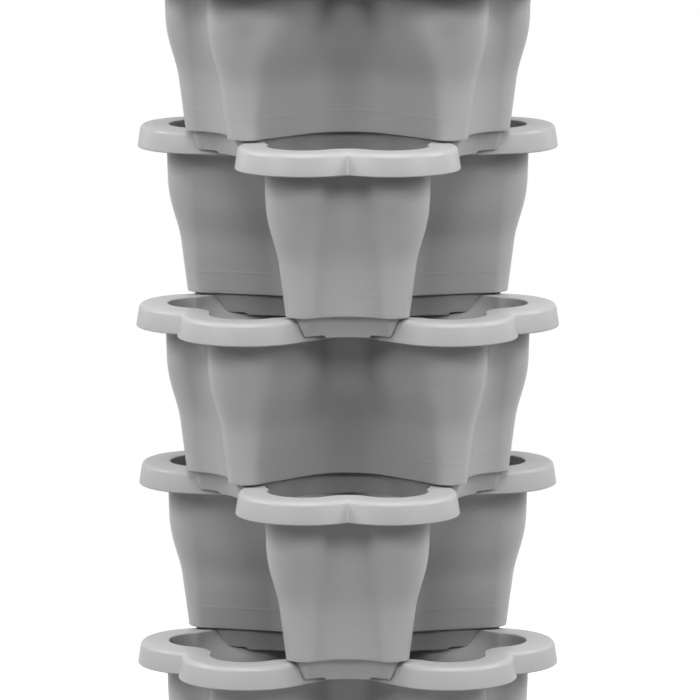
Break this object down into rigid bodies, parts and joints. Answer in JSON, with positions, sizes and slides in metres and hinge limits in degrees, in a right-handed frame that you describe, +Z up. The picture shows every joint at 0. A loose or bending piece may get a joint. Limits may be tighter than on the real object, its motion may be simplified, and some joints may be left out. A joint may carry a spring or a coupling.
{
  "type": "vertical planter tower",
  "caption": "Free-standing vertical planter tower of grey plastic trefoil pots, stacked crosswise so each pot's petals stick out between those below, with drain grids and a drip saucer.",
  "frame": {"origin": "on the tower axis, at the level of the saucer's underside", "axes": "+Z up the tower, -Y towards the front, where the second and fourth pots point a petal, +X to the right"},
  "size_m": [0.3158, 0.312, 0.6589],
  "materials": {
    "pot_plastic": "satin moulded plastic",
    "grid_plastic": "satin moulded plastic",
    "saucer_plastic": "satin moulded plastic"
  },
  "bodies": {
    "saucer": {"drip_saucer": "saucer_plastic"},
    "pot_1": {"pot_1": "pot_plastic"},
    "pot_2": {"pot_2": "pot_plastic"},
    "pot_3": {"pot_3": "pot_plastic"},
    "pot_4": {"pot_4": "pot_plastic"},
    "pot_5": {"pot_5": "pot_plastic"},
    "drain_grid_1": {"drain_grid_1": "grid_plastic"},
    "drain_grid_2": {"drain_grid_2": "grid_plastic"},
    "drain_grid_3": {"drain_grid_3": "grid_plastic"},
    "drain_grid_4": {"drain_grid_4": "grid_plastic"},
    "drain_grid_5": {"drain_grid_5": "grid_plastic"}
  },
  "joints": [
    {"name": "pot_1_lift", "type": "slide", "parent": "saucer", "child": "pot_1", "axis": [0, 0, 1], "range_m": [0, 0.1]},
    {"name": "pot_2_lift", "type": "slide", "parent": "pot_1", "child": "pot_2", "axis": [0, 0, 1], "range_m": [0, 0.1]},
    {"name": "pot_3_lift", "type": "slide", "parent": "pot_2", "child": "pot_3", "axis": [0, 0, 1], "range_m": [0, 0.1]},
    {"name": "pot_4_lift", "type": "slide", "parent": "pot_3", "child": "pot_4", "axis": [0, 0, 1], "range_m": [0, 0.1]},
    {"name": "pot_5_lift", "type": "slide", "parent": "pot_4", "child": "pot_5", "axis": [0, 0, 1], "range_m": [0, 0.1]},
    {"name": "drain_grid_1_lift", "type": "slide", "parent": "pot_1", "child": "drain_grid_1", "axis": [0, 0, 1], "range_m": [0, 0.08]},
    {"name": "drain_grid_2_lift", "type": "slide", "parent": "pot_2", "child": "drain_grid_2", "axis": [0, 0, 1], "range_m": [0, 0.08]},
    {"name": "drain_grid_3_lift", "type": "slide", "parent": "pot_3", "child": "drain_grid_3", "axis": [0, 0, 1], "range_m": [0, 0.08]},
    {"name": "drain_grid_4_lift", "type": "slide", "parent": "pot_4", "child": "drain_grid_4", "axis": [0, 0, 1], "range_m": [0, 0.08]},
    {"name": "drain_grid_5_lift", "type": "slide", "parent": "pot_5", "child": "drain_grid_5", "axis": [0, 0, 1], "range_m": [0, 0.08]}
  ]
}
